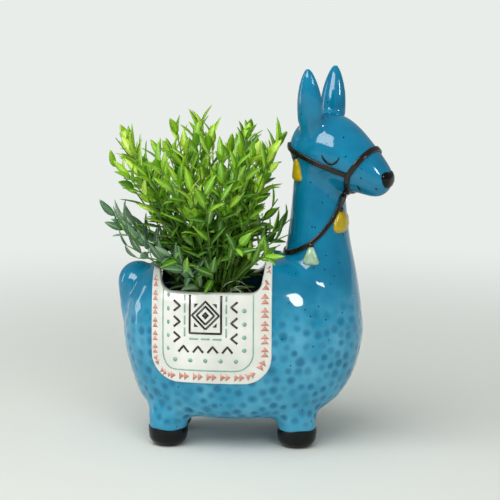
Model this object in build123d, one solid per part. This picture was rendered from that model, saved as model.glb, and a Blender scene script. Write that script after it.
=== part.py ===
from build123d import *
import math
import os

# Animal shaped planter: a slip cast, glazed llama whose open back holds an artificial bush.
# Millimetres. +X is towards the nose, -Y is the animal's right flank, +Z is up, Z = 0 is the table.

# Pot body
body_rear = 69.4
body_front = 69.7
body_width = 87.0
belly_height = 17.0
back_height = 108.0
pot_wall = 5.0
rim_drop = 15.8
rim_height = back_height - rim_drop
mouth_rear = 44.6
mouth_front = 10.7
mouth_flare = 3.2
mouth_corner = 6.5
drain_radius = 6.0
vent_radius = 7.0
overrun = 250.0

# Height, rear, front and width of the pot's level sections, from the belly to the back
torso_shares = [
    (0.0, 0.65, 0.59, 0.60),
    (0.03, 0.765, 0.685, 0.735),
    (0.09, 0.855, 0.785, 0.855),
    (0.19, 0.91, 0.885, 0.935),
    (0.32, 0.96, 0.957, 0.98),
    (0.49, 1.0, 1.0, 1.0),
    (0.66, 0.985, 0.985, 0.965),
    (0.79, 0.945, 0.905, 0.90),
    (0.88, 0.875, 0.80, 0.81),
    (0.945, 0.74, 0.68, 0.69),
    (0.985, 0.57, 0.56, 0.56),
    (1.0, 0.46, 0.49, 0.46),
]
torso_round_share = 0.87
oval_points = 16

# Neck: an oval tube that spreads into the chest
neck_x = 43.8
neck_sink = 48.0
neck_low = back_height - neck_sink
neck_base_length = 51.0
neck_base_width = 59.0
neck_top_length = 28.0
neck_top_width = 31.0
neck_wall = 4.5

# Height and narrowing of the neck's level sections
neck_shares = [
    (0.0, 0.0),
    (0.10, 0.01),
    (0.19, 0.06),
    (0.28, 0.19),
    (0.37, 0.36),
    (0.46, 0.545),
    (0.56, 0.71),
    (0.67, 0.83),
    (0.78, 0.915),
    (0.89, 0.965),
    (1.0, 1.0),
]

# Head, measured along its own axis from the back of the skull to the nose
head_length = 64.0
head_crown = 22.5
head_jaw = 19.5
head_width = 34.0
head_back = 14.0
head_height = 176.5
head_droop = 20.8
head_turn = 29.0
head_wall = 4.5
neck_tuck = 2.5
neck_high = head_height - neck_tuck

# Place along the head, crown, jaw and width of its sections
head_shares = [
    (0.0, 0.36, 0.41, 0.47),
    (0.065, 0.64, 0.69, 0.76),
    (0.177, 0.89, 0.91, 0.95),
    (0.323, 1.0, 1.0, 1.0),
    (0.484, 0.933, 0.96, 0.965),
    (0.645, 0.755, 0.80, 0.82),
    (0.774, 0.578, 0.68, 0.69),
    (0.887, 0.39, 0.605, 0.565),
    (0.96, 0.235, 0.477, 0.41),
    (1.0, 0.07, 0.256, 0.19),
]
head_round_share = 0.93

# Ears
ear_length = 39.5
ear_depth = 16.0
ear_thickness = 11.0
ear_seat_share = 0.07
ear_along = 1.3
ear_spread = 11.5
ear_lean = 7.0
ear_shares = [
    (0.0, 0.80),
    (0.19, 0.95),
    (0.36, 1.0),
    (0.52, 0.955),
    (0.69, 0.81),
    (0.84, 0.58),
    (0.94, 0.36),
    (1.0, 0.14),
]

# Legs and hooves
leg_radius = 11.2
leg_root_height = 44.0
rear_leg_x = -42.8
rear_leg_y = 18.5
front_leg_x = 31.8
front_leg_y = 20.5
leg_draw_in = 9.0
hoof_height = 10.5
hoof_round = 4.5
leg_shares = [
    (0.0, 1.0, 0.0),
    (0.11, 1.04, 0.03),
    (0.20, 1.13, 0.12),
    (0.30, 1.27, 0.28),
    (0.44, 1.42, 0.52),
    (0.66, 1.52, 0.80),
    (1.0, 1.55, 1.0),
]

# Tail: a ball on a root that runs down the rump
tail_radius = 12.0
tail_x = -60.8
tail_height = 92.3
tail_root_length = 34.0
tail_root_radius = 3.6
tail_lean = 9.5

# Raised glaze work: saddle blanket, halter, reins, tassels, nose and eyelids
blanket_relief = 0.9
blanket_rear = 50.7
blanket_front = 17.6
blanket_hem_height = 41.5
blanket_corner = 16.0
strap_relief = 1.0
strap_width = 2.9
band_jaw_share = 0.69
band_cheek_share = 0.685
band_bridge_share = 0.81
band_reach_share = 1.2
cheek_drop_share = 0.18
nape_drop_share = 0.25
rein_width = 2.3
rein_rise = 2.7
rein_jaw_share = 1.5
rein_points_share = [(0.575, 1.0), (0.13, 0.422), (-0.80, 0.0)]
tassel_relief = 2.4
tassel_neck = 3.0
yellow_tassel_length = 12.5
yellow_tassel_width = 9.5
yellow_tassel_share = (0.48, 0.694)
green_tassel_length = 10.3
green_tassel_width = 11.0
green_tassel_share = (-0.169, 0.168)
rein_tassels = [
    ("tassel_yellow", yellow_tassel_share, yellow_tassel_length, yellow_tassel_width),
    ("tassel_green", green_tassel_share, green_tassel_length, green_tassel_width),
]
crown_tassel_length = 13.5
crown_tassel_share = (0.11, 0.53)
nose_relief = 0.7
nose_share = [(0.905, 0.36), (1.06, 0.36), (1.06, -0.19), (0.985, -0.19), (0.925, 0.14)]
eyelid_relief = 0.6
eyelid_width = 1.4
eyelid_share = [(0.397, 0.125), (0.492, -0.025), (0.556, 0.20)]

# Drain plug under the belly
plug_clearance = 0.05
plug_flange = 3.0
plug_flange_thickness = 2.0
plug_tab_length = 8.0
plug_tab_width = 2.6
plug_tab_height = 3.0

# Artificial bush: foam block, trunk and flat leafy sprays
foam_clearance = 0.4
foam_drop = 9.2
foam_half_width = 27.6
foam_corner = 21.0
trunk_radius = 6.5
trunk_height = 22.0
spray_thickness = 0.9
stem_width = 1.7
leaf_length = 15.0
leaf_width = 6.2
leaf_pitch = 7.2
leaf_angle = 38.0
neck_gap = 3.0
spray_count = 12
side_reach_share = 0.22
spread_limit_share = 0.05
upright_limit_share = 0.4

upright_length = 80.0
upright_bare_stem = 34.0
middle_length = 86.0
middle_bare_stem = 18.0
middle_drop = 4.0
low_length = 61.0
low_bare_stem = 17.0
low_drop = 8.0

# Name, place on the trunk, start and end angle from upright, length, bare stem, half step round
spray_tiers = [
    ("sprays_upright", trunk_height, 7, 15, upright_length, upright_bare_stem, 0),
    ("sprays_middle", trunk_height - middle_drop, 17, 41, middle_length, middle_bare_stem, 1),
    ("sprays_low", trunk_height - low_drop, 44, 80, low_length, low_bare_stem, 0),
]


def smooth_loop(points):
    """Face inside a smooth closed curve."""
    return Face(Wire([Spline(points, periodic=True)]))


def signed_power(value, power):
    return math.copysign(abs(value) ** power, value)


def level_oval(rear, front, half_width, height, round_share):
    """Level oval with its own reach to the rear and to the front."""
    points = []
    for k in range(oval_points):
        angle = math.tau * k / oval_points
        reach = front if math.cos(angle) > 0 else rear
        x = reach * signed_power(math.cos(angle), round_share)
        y = half_width * signed_power(math.sin(angle), round_share)
        points.append((x, y, height))
    return smooth_loop(points)


def torso(grow):
    """Outer form of the pot, or its cavity when it is drawn in by the wall."""
    low = belly_height - grow
    high = back_height + grow
    sections = []
    for up, rear, front, wide in torso_shares:
        sections.append(level_oval(
            body_rear * rear + grow, body_front * front + grow, body_width / 2 * wide + grow,
            low + (high - low) * up, torso_round_share))
    return loft(sections)


def neck_tube(grow):
    sections = []
    for up, narrow in neck_shares:
        half_length = (neck_base_length + (neck_top_length - neck_base_length) * narrow) / 2 + grow
        half_width = (neck_base_width + (neck_top_width - neck_base_width) * narrow) / 2 + grow
        height = neck_low + (neck_high - neck_low) * up
        sections.append(level_oval(half_length, half_length, half_width, height, 1))
    return Pos(neck_x, 0, 0) * loft(sections)


def head_axis():
    """Turn of the head about the neck."""
    return Pos(neck_x, 0, 0) * Rot(0, 0, -head_turn)


def head_place():
    """Frame of the head: X along it, Z from jaw to crown, origin at the back of the skull."""
    return head_axis() * Pos(-head_back, 0, head_height) * Rot(0, head_droop, 0)


def head_bulb(grow, rows):
    sections = []
    for along, crown, jaw, wide in rows:
        points = []
        for k in range(oval_points):
            angle = math.tau * k / oval_points
            reach = head_crown * crown if math.sin(angle) > 0 else head_jaw * jaw
            y = (head_width / 2 * wide + grow) * signed_power(math.cos(angle), head_round_share)
            z = (reach + grow) * signed_power(math.sin(angle), head_round_share)
            points.append(((head_length + 2 * grow) * along - grow, y, z))
        sections.append(smooth_loop(points))
    return head_place() * loft(sections)


def neck_and_head(grow):
    return neck_tube(grow) + head_bulb(grow, head_shares)


def across(outline, side=0):
    """Run a side view outline right through the animal, or through one side of it."""
    if side == 0:
        return extrude(Plane.XZ * outline, amount=overrun, both=True)
    return extrude(Plane.XZ * outline, amount=-side * overrun)


def outline_of(points):
    return make_face(Polyline(points, close=True))


def mouth_notch():
    """Saddle shaped cut that opens the back."""
    top = overrun
    rise = (top - rim_height) * mouth_flare / rim_drop
    outline = outline_of([
        (-mouth_rear, rim_height), (mouth_front, rim_height),
        (mouth_front + rise, top), (-mouth_rear - rise, top)])
    low_corners = outline.vertices().sort_by(Axis.Y)[:2]
    return across(fillet(low_corners, mouth_corner))


def pot_body(outer):
    cavity = torso(-pot_wall)
    drain = Pos(0, 0, belly_height) * Cylinder(drain_radius, pot_wall * 4)
    vent = Pos(neck_x, 0, back_height) * Cylinder(
        vent_radius, (back_height - belly_height) / 2, align=(Align.CENTER, Align.CENTER, Align.MAX))
    return outer - cavity - mouth_notch() - drain - vent


def neck(torso_form, head_form):
    return neck_tube(0) - torso_form - head_form - neck_tube(-neck_wall)


def head(head_form):
    hollow = head_bulb(-head_wall, head_shares[1:-2])
    vent = Pos(neck_x, 0, head_height) * Cylinder(
        vent_radius, head_jaw * 2, align=(Align.CENTER, Align.CENTER, Align.MAX))
    return head_form - hollow - vent


def ear(side, head_form):
    sections = []
    for up, wide in ear_shares:
        sections.append(level_oval(
            ear_depth / 2 * wide, ear_depth / 2 * wide, ear_thickness / 2 * wide, ear_length * up, 1))
    seat = head_height + head_crown * ear_seat_share
    place = head_axis() * Pos(ear_along, side * ear_spread, seat) * Rot(-side * ear_lean, 0, 0)
    return place * loft(sections) - head_form


def leg(x, y, torso_form):
    sections = []
    inward_x = -math.copysign(leg_draw_in, x)
    inward_y = -math.copysign(leg_draw_in, y)
    for up, thick, inward in leg_shares:
        height = hoof_height + (leg_root_height - hoof_height) * up
        place = Pos(x + inward_x * inward, y + inward_y * inward, height)
        sections.append(place * Circle(leg_radius * thick))
    return loft(sections) - torso_form


def hoof(x, y):
    block = Cylinder(leg_radius, hoof_height, align=(Align.CENTER, Align.CENTER, Align.MIN))
    return Pos(x, y, 0) * fillet(block.edges().sort_by(Axis.Z)[:1], hoof_round)


def tail(torso_form):
    """Ball with a tapering root, turned about its own axis."""
    shoulder = math.asin((tail_radius - tail_root_radius) / tail_root_length)
    touch = (tail_radius * math.cos(shoulder), -tail_radius * math.sin(shoulder))
    foot = (tail_root_radius, -tail_root_length)
    outline = make_face([
        ThreePointArc((0, tail_radius), (tail_radius, 0), touch),
        Line(touch, foot),
        Line(foot, (0, -tail_root_length)),
        Line((0, -tail_root_length), (0, tail_radius))])
    form = revolve(Plane.XZ * outline, Axis.Z)
    return Pos(tail_x, 0, tail_height) * Rot(0, tail_lean, 0) * form - torso_form


def saddle_blanket(torso_form, neck_form):
    top = back_height + overrun
    outline = outline_of([
        (-blanket_rear, blanket_hem_height), (blanket_front, blanket_hem_height),
        (blanket_front, top), (-blanket_rear, top)])
    outline = fillet(outline.vertices().sort_by(Axis.Y)[:2], blanket_corner)
    return (torso(blanket_relief) & across(outline)) - torso_form - mouth_notch() - neck_form


def head_points(shares):
    """Side view points on the head, from shares of its length and of its crown and jaw."""
    points = []
    for along, up in shares:
        points.append((head_length * along, (head_crown if up > 0 else head_jaw) * up))
    return points


def band_outline(shares, width):
    """Side view outline of a straight sided band along the head."""
    left = [(x - width / 2, z) for x, z in head_points(shares)]
    right = [(x + width / 2, z) for x, z in head_points(shares)]
    return outline_of(left + right[::-1])


def noseband_cutter():
    shares = [(band_jaw_share, -band_reach_share), (band_cheek_share, -cheek_drop_share),
              (band_bridge_share, band_reach_share)]
    return head_place() * across(band_outline(shares, strap_width))


def crown_strap_cutter():
    cheek = (head_length * band_cheek_share, -head_jaw * cheek_drop_share)
    nape = (-head_length / 4, -head_jaw * nape_drop_share)
    outline = outline_of([
        (cheek[0], cheek[1] - strap_width / 2), (cheek[0], cheek[1] + strap_width / 2),
        (nape[0], nape[1] + strap_width / 2), (nape[0], nape[1] - strap_width / 2)])
    return head_place() * across(outline) - noseband_cutter()


def neck_point(share):
    """Side view point on the neck, from shares of its half length and of the way from the back to the jaw."""
    along, up = share
    low = back_height + rein_rise
    top = head_height - head_jaw * rein_jaw_share
    return (neck_x + neck_base_length / 2 * along, low + (top - low) * up)


def reins_cutter():
    path = ThreePointArc(*[neck_point(share) for share in rein_points_share])
    return across(trace(path, rein_width))


def relief(skin, cutter, bare):
    """Raised piece on the glaze: a patch of the outer skin, cut free of the form under it."""
    return (skin & cutter) - bare


def tassel_outline(point, length, width):
    x, top = point
    bottom = top - length
    outline = outline_of([
        (x - tassel_neck / 2, top), (x + tassel_neck / 2, top),
        (x + width / 2, bottom), (x - width / 2, bottom)])
    return fillet(outline.vertices().sort_by(Axis.Y)[:2], tassel_neck / 2)


def drain_plug():
    stem_radius = drain_radius - plug_clearance
    stem = Pos(0, 0, belly_height) * Cylinder(
        stem_radius, pot_wall, align=(Align.CENTER, Align.CENTER, Align.MIN))
    flange_top = belly_height - plug_clearance
    flange = Pos(0, 0, flange_top) * Cylinder(
        drain_radius + plug_flange, plug_flange_thickness, align=(Align.CENTER, Align.CENTER, Align.MAX))
    tab = Pos(0, 0, flange_top - plug_flange_thickness) * Box(
        plug_tab_length, plug_tab_width, plug_tab_height, align=(Align.CENTER, Align.CENTER, Align.MAX))
    link = Pos(0, 0, flange_top) * Cylinder(
        stem_radius, plug_clearance, align=(Align.CENTER, Align.CENTER, Align.MIN))
    return stem + flange + tab + link


def foam_top():
    return rim_height - foam_drop


def plant_x():
    return (mouth_front - mouth_rear) / 2


def foam_block():
    """Block that drops through the mouth and fills the cavity under it."""
    half_length = (mouth_front + mouth_rear) / 2 - foam_clearance
    plan = RectangleRounded(half_length * 2, foam_half_width * 2, foam_corner)
    prism = Pos(plant_x(), 0, 0) * extrude(plan, amount=foam_top())
    return prism & torso(-pot_wall - foam_clearance)


def trunk():
    return Pos(plant_x(), 0, foam_top()) * Cylinder(
        trunk_radius, trunk_height, align=(Align.CENTER, Align.CENTER, Align.MIN))


def leaf(base, angle):
    """Pointed leaf of two arcs, its angle taken from upright."""
    along = Vector(math.sin(angle), math.cos(angle))
    beside = Vector(math.cos(angle), -math.sin(angle))
    tip = base + along * leaf_length
    middle = base + along * (leaf_length / 2)
    return make_face([
        ThreePointArc(base, middle + beside * (leaf_width / 2), tip),
        ThreePointArc(tip, middle - beside * (leaf_width / 2), base)])


def spray_outline(start, first_angle, last_angle, length, bare_stem):
    """Arching stem with leaves to both sides, in a plane through the trunk's axis."""
    turn = math.radians(last_angle - first_angle)
    radius = length / turn

    def angle_at(s):
        return math.radians(first_angle) + turn * s / length

    def point_at(s, shift=0):
        angle = angle_at(s)
        reach = radius + shift
        centre = start + Vector(math.cos(math.radians(first_angle)),
                                -math.sin(math.radians(first_angle))) * radius
        return centre + Vector(-math.cos(angle), math.sin(angle)) * reach

    half = stem_width / 2
    stem = make_face([
        ThreePointArc(point_at(0, half), point_at(length / 2, half), point_at(length, half)),
        Line(point_at(length, half), point_at(length, -half)),
        ThreePointArc(point_at(length, -half), point_at(length / 2, -half), point_at(0, -half)),
        Line(point_at(0, -half), point_at(0, half))])
    leaves = [leaf(point_at(length - half), angle_at(length))]
    count = int((length - bare_stem) / leaf_pitch)
    for k in range(count):
        side = 1 if k % 2 else -1
        s = bare_stem + leaf_pitch * k
        leaves.append(leaf(point_at(s), angle_at(s) + side * math.radians(leaf_angle)))
    return stem + leaves


def sprays(tier):
    """One ring of sprays round the trunk, held more upright where the neck stands in the way."""
    name, height, first_angle, last_angle, length, bare_stem, half_step = tier
    room = neck_x - neck_base_length / 2 - neck_gap - plant_x()
    pieces = []
    for k in range(spray_count):
        azimuth = math.pi + math.tau * (k + half_step / 2) / spray_count
        own_length = length * (1 - side_reach_share * abs(math.sin(azimuth)))
        free_reach = room / max(math.cos(azimuth), spread_limit_share) - trunk_radius - leaf_length
        mean_angle = math.radians((first_angle + last_angle) / 2)
        upright_share = min(1, math.asin(min(1, max(0, free_reach / own_length))) / mean_angle)
        if upright_share < upright_limit_share:
            continue
        outline = spray_outline(Vector(trunk_radius - stem_width, height), first_angle * upright_share,
                                last_angle * upright_share, own_length, bare_stem)
        outline -= Pos(0, trunk_height / 2) * Rectangle(trunk_radius * 2, trunk_height)
        plane = Plane((plant_x(), 0, foam_top()), x_dir=(math.cos(azimuth), math.sin(azimuth), 0),
                      z_dir=(math.sin(azimuth), -math.cos(azimuth), 0))
        pieces.append(extrude(plane * outline, amount=spray_thickness / 2, both=True))
    return pieces


def build():
    torso_form = torso(0)
    head_form = head_bulb(0, head_shares)
    neck_form = neck_tube(0)
    bare = neck_form + head_form
    parts = {"pot_body": pot_body(torso_form), "neck": neck(torso_form, head_form), "head": head(head_form)}
    parts["tail"] = tail(torso_form)
    parts["saddle_blanket"] = saddle_blanket(torso_form, neck_form)
    for end, x, y in (("rear", rear_leg_x, rear_leg_y), ("front", front_leg_x, front_leg_y)):
        for hand, side in (("left", 1), ("right", -1)):
            parts[f"leg_{end}_{hand}"] = leg(x, side * y, torso_form)
            parts[f"hoof_{end}_{hand}"] = hoof(x, side * y)

    strap_skin = neck_and_head(strap_relief)
    band_skin = head_bulb(strap_relief, head_shares)
    parts["halter_noseband"] = relief(band_skin, noseband_cutter(), head_form) - neck_tube(strap_relief)
    parts["halter_crown_strap"] = relief(strap_skin, crown_strap_cutter(), bare)
    parts["reins"] = relief(strap_skin, reins_cutter() - noseband_cutter(), bare + torso_form)
    tassel_skin = neck_and_head(tassel_relief)
    crown_x, crown_up = crown_tassel_share
    crown_point = (head_length * crown_x - head_back, head_height - head_jaw * crown_up)
    straps = crown_strap_cutter() + reins_cutter()
    for hand, side in (("left", 1), ("right", -1)):
        parts[f"ear_{hand}"] = ear(side, head_form)
        for name, share, length, width in rein_tassels:
            cutter = across(tassel_outline(neck_point(share), length, width), side)
            parts[f"{name}_{hand}"] = relief(tassel_skin, cutter - straps, bare + torso_form)
        crown_outline = tassel_outline(crown_point, crown_tassel_length, yellow_tassel_width)
        cutter = head_axis() * across(crown_outline, side)
        parts[f"tassel_crown_{hand}"] = relief(tassel_skin, cutter - straps, bare)
        lid = trace(ThreePointArc(*head_points(eyelid_share)), eyelid_width)
        lid_cutter = head_place() * across(lid, side)
        parts[f"eyelid_{hand}"] = relief(head_bulb(eyelid_relief, head_shares), lid_cutter, head_form)
    nose_cutter = head_place() * across(outline_of(head_points(nose_share)))
    parts["nose_pad"] = relief(head_bulb(nose_relief, head_shares), nose_cutter, head_form)

    parts["drain_plug"] = drain_plug()
    parts["foam_block"] = foam_block()
    parts["trunk"] = trunk()
    for tier in spray_tiers:
        parts[tier[0]] = Compound(sprays(tier))
    return parts


def centred(parts):
    """Put the origin under the middle of the whole planter."""
    box = Compound(list(parts.values())).bounding_box()
    shift = Pos(-(box.min.X + box.max.X) / 2, -(box.min.Y + box.max.Y) / 2, 0)
    return {name: shift * shape for name, shape in parts.items()}


os.makedirs("parts", exist_ok=True)
for name, shape in centred(build()).items():
    export_step(shape, f"parts/{name}.step")
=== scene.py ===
import math

import bmesh
import bpy
import numpy as np
from mathutils import Matrix, Vector
from mathutils.bvhtree import BVHTree
from mathutils.kdtree import KDTree


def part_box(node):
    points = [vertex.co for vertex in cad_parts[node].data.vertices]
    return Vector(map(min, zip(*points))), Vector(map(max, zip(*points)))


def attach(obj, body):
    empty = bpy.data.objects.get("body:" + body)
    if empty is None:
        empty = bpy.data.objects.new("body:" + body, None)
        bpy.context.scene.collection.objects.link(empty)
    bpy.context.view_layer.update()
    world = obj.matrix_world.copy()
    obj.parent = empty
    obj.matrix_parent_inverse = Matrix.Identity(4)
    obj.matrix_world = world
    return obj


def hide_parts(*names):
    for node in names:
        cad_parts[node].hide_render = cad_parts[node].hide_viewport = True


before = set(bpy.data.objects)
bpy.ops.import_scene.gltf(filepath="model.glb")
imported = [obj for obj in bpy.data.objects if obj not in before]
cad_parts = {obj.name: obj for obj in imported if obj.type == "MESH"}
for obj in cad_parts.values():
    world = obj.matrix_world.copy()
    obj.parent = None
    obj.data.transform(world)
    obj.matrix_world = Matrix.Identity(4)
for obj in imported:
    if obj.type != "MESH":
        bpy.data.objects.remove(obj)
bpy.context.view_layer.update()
mm = 0.001
scene = bpy.context.scene
scene.view_settings.view_transform = "Standard"
chance = np.random.default_rng(23)
print("frame loaded:", len(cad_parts), "nodes")


# camera: the photograph's viewing angle, image taken as 500 x 500
photoView = {
    "azimuth": 2.0,             # degrees round from the llama's right flank
    "elevation": 10.0,
    "distance": 1.1,            # metres
    "target": (0.0049, 0.0, 0.111),
    "across": 0.290,            # metres seen across the picture at the target
    "pixels": 500,
}


def photoCamera():
    turn, lift = math.radians(photoView["azimuth"]), math.radians(photoView["elevation"])
    away = Vector((math.sin(turn) * math.cos(lift), -math.cos(turn) * math.cos(lift), math.sin(lift)))
    camera = bpy.data.objects.new("photoCamera", bpy.data.cameras.new("photoCamera"))
    scene.collection.objects.link(camera)
    camera.location = Vector(photoView["target"]) + away * photoView["distance"]
    camera.rotation_euler = (-away).to_track_quat("-Z", "Y").to_euler()
    camera.data.angle = 2 * math.atan(photoView["across"] / 2 / photoView["distance"])
    camera.data.clip_start = 0.05
    scene.camera = camera
    bpy.context.view_layer.update()
    return camera


camera = photoCamera()


def photoRay(pixel):                     # start and direction of the line of sight through a photo pixel
    half = photoView["pixels"] / 2
    slope = math.tan(camera.data.angle / 2)
    sight = Vector(((pixel[0] - half) / half * slope, (half - pixel[1]) / half * slope, -1))
    return camera.matrix_world.translation, (camera.matrix_world.to_3x3() @ sight).normalized()


print("camera set")


# material helpers
def linear(hexColour):
    shares = [int(hexColour[k:k + 2], 16) / 255 for k in (1, 3, 5)]
    return [s / 12.92 if s <= 0.04045 else ((s + 0.055) / 1.055) ** 2.4 for s in shares] + [1.0]


def addNode(tree, kind, settings=None, links=None):
    node = tree.nodes.new("ShaderNode" + kind)
    for key, value in (settings or {}).items():
        if key == "stops":                # place and colour or grey of each band of a colour ramp
            bands = node.color_ramp.elements
            while len(bands) < len(value):
                bands.new(0.5)
            for band, (place, colour) in zip(bands, value):
                band.position = place
                band.color = linear(colour) if isinstance(colour, str) else (colour, colour, colour, 1)
        elif isinstance(key, str) and hasattr(node, key):
            setattr(node, key, value)
        else:
            node.inputs[key].default_value = value
    for key, socket in (links or {}).items():
        tree.links.new(socket, node.inputs[key])
    return node


def newMaterial(name, settings):
    material = bpy.data.materials.new(name)
    material.use_nodes = True
    shader = material.node_tree.nodes["Principled BSDF"]
    for key, value in settings.items():
        shader.inputs[key].default_value = value
    return material, material.node_tree, shader


# glazed earthenware: slip cast, brushed with a reactive blue glaze and fired glossy; the glaze
# pools dark in the thumbed dents, breaks pale on the ridges and carries fine iron specks
blueGlazeLook = {
    "thin": "#52a9c9", "middle": "#248fb4", "pooled": "#066c92",
    "neckLight": "#067ea4", "neckDeep": "#016b8f",
    "speck": "#0c1c22", "rimWhite": "#e6e7e0",
    "cloud": 16, "streak": 5,            # mm, clouding and finer drift of the glaze
    "speckSpacing": 5.2, "speckSize": 0.55,
    "ripple": 6, "rippleDepth": 0.25,     # mm, slow waves in the glossy skin
    "rippleStrength": (0.05, 0.3),        # on the smooth neck, and what the dented flank adds
    "wander": 0.5,                        # how far the drift moves the edge of a pool
}


def blueGlaze():
    look = blueGlazeLook
    material, tree, shader = newMaterial("blueGlazedEarthenware", {"Roughness": 0.08, "IOR": 1.46})
    place = addNode(tree, "TexCoord").outputs["Object"]
    cloud = addNode(tree, "TexNoise", {"Scale": 1 / (look["cloud"] * mm), "Detail": 3.0},
                    {"Vector": place}).outputs["Fac"]
    drift = addNode(tree, "TexNoise", {"Scale": 1 / (look["streak"] * mm), "Detail": 4.0},
                    {"Vector": place}).outputs["Fac"]
    dent, flank, rim = (addNode(tree, "Attribute", {"attribute_name": name}).outputs["Fac"]
                        for name in ("dent", "flank", "rim"))
    wander = addNode(tree, "Math",
                     {"operation": "MULTIPLY_ADD", 1: look["wander"], 2: -look["wander"] / 2}, {0: drift})
    depth = addNode(tree, "Math", {"operation": "ADD"}, {0: dent, 1: wander.outputs[0]})
    pool = addNode(tree, "ValToRGB", {"stops": [(0.1, 0.0), (0.85, 0.95)]},
                   {"Fac": depth.outputs[0]})
    ground = addNode(tree, "ValToRGB", {"stops": [(0.35, look["middle"]), (0.72, look["thin"])]},
                     {"Fac": cloud})
    dented = addNode(tree, "Mix", {"data_type": "RGBA", 7: linear(look["pooled"])},
                     {"Factor": pool.outputs["Color"], 6: ground.outputs["Color"]})
    smooth = addNode(tree, "ValToRGB",
                     {"stops": [(0.3, look["neckDeep"]), (0.7, look["neckLight"])]}, {"Fac": cloud})
    body = addNode(tree, "Mix", {"data_type": "RGBA"},
                   {"Factor": flank, 6: smooth.outputs["Color"], 7: dented.outputs[2]})
    cells = addNode(tree, "TexVoronoi", {"Scale": 1 / (look["speckSpacing"] * mm)},
                    {"Vector": place})
    near = look["speckSize"] / look["speckSpacing"]
    speckMask = addNode(tree, "ValToRGB", {"stops": [(near * 0.75, 1.0), (near, 0.0)]},
                        {"Fac": cells.outputs["Distance"]})
    specked = addNode(tree, "Mix", {"data_type": "RGBA", 7: linear(look["speck"])},
                      {"Factor": speckMask.outputs["Color"], 6: body.outputs[2]})
    lip = addNode(tree, "ValToRGB", {"stops": [(0.35, 0.0), (0.65, 1.0)]}, {"Fac": rim})
    lipped = addNode(tree, "Mix", {"data_type": "RGBA", 7: linear(look["rimWhite"])},
                     {"Factor": lip.outputs["Color"], 6: specked.outputs[2]})
    tree.links.new(lipped.outputs[2], shader.inputs["Base Color"])
    ripple = addNode(tree, "TexNoise", {"Scale": 1 / (look["ripple"] * mm), "Detail": 1.0},
                     {"Vector": place})
    least, added = look["rippleStrength"]
    rippling = addNode(tree, "Math", {"operation": "MULTIPLY_ADD", 1: added, 2: least}, {0: flank})
    bump = addNode(tree, "Bump", {"Distance": look["rippleDepth"] * mm},
                   {"Height": ripple.outputs["Fac"], "Strength": rippling.outputs[0]})
    tree.links.new(bump.outputs["Normal"], shader.inputs["Normal"])
    return material


# the other finishes: one colour each, clouded a little by the brush or the mould, with a faint unevenness
mottleLook = {"bumpStrength": 0.2, "bumpDepth": 0.15, "ior": 1.52}   # mm


def mottledFinish(name, dark, light, cloudSize, roughness, gloss=0.5):
    material, tree, shader = newMaterial(
        name, {"Roughness": roughness, "IOR": mottleLook["ior"], "Specular IOR Level": gloss})
    place = addNode(tree, "TexCoord").outputs["Object"]
    cloud = addNode(tree, "TexNoise", {"Scale": 1 / (cloudSize * mm), "Detail": 4.0},
                    {"Vector": place}).outputs["Fac"]
    tint = addNode(tree, "ValToRGB", {"stops": [(0.3, dark), (0.7, light)]}, {"Fac": cloud})
    tree.links.new(tint.outputs["Color"], shader.inputs["Base Color"])
    bump = addNode(tree, "Bump", {"Strength": mottleLook["bumpStrength"],
                                  "Distance": mottleLook["bumpDepth"] * mm}, {"Height": cloud})
    tree.links.new(bump.outputs["Normal"], shader.inputs["Normal"])
    return material


# moulded polyethylene leaves: satin, a paler midrib, a random tone per stem and leaf, and painted shade that
# runs from lime on the outer leaves to deep green in the bush's middle
leafLook = {
    "tones": [(0.0, "#2c5a17"), (0.3, "#518f1c"), (0.55, "#84c41f"), (0.8, "#b2e02f"), (1.0, "#d4ee66")],
    "coolTones": [(0.0, "#2a4a34"), (0.45, "#5d8a66"), (1.0, "#a5c59c")],
    "rib": "#b9d77a", "vein": 2.2,       # mm between the fine cross veins
    "veinTone": 0.22, "veinStrength": 0.3, "veinDepth": 0.2,   # mm
}


def leafPlastic():
    look = leafLook
    material, tree, shader = newMaterial("mouldedLeafPlastic", {"Roughness": 0.42, "IOR": 1.5})
    place = addNode(tree, "TexCoord").outputs["Object"]
    # this attribute carries each leaf's random tone plus painted shade, darker towards the bush's middle
    tone, across, cool = (addNode(tree, "Attribute", {"attribute_name": name}).outputs["Fac"]
                          for name in ("tone", "across", "cool"))
    drift = addNode(tree, "TexNoise", {"Scale": 1 / (look["vein"] * mm), "Detail": 3.0},
                    {"Vector": place}).outputs["Fac"]
    mixed = addNode(tree, "Math",
                    {"operation": "MULTIPLY_ADD", 1: look["veinTone"], 2: -look["veinTone"] / 2}, {0: drift})
    shifted = addNode(tree, "Math", {"operation": "ADD"}, {0: tone, 1: mixed.outputs[0]}).outputs[0]
    warm = addNode(tree, "ValToRGB", {"stops": look["tones"]}, {"Fac": shifted})
    bluish = addNode(tree, "ValToRGB", {"stops": look["coolTones"]}, {"Fac": shifted})
    green = addNode(tree, "Mix", {"data_type": "RGBA"},
                    {"Factor": cool, 6: warm.outputs["Color"], 7: bluish.outputs["Color"]})
    ribMask = addNode(tree, "ValToRGB", {"stops": [(0.03, 0.55), (0.22, 0.0)]}, {"Fac": across})
    ribbed = addNode(tree, "Mix", {"data_type": "RGBA", 7: linear(look["rib"])},
                     {"Factor": ribMask.outputs["Color"], 6: green.outputs[2]})
    tree.links.new(ribbed.outputs[2], shader.inputs["Base Color"])
    bump = addNode(tree, "Bump",
                   {"Strength": look["veinStrength"], "Distance": look["veinDepth"] * mm}, {"Height": drift})
    tree.links.new(bump.outputs["Normal"], shader.inputs["Normal"])
    return material


blueSkin = blueGlaze()
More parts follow.
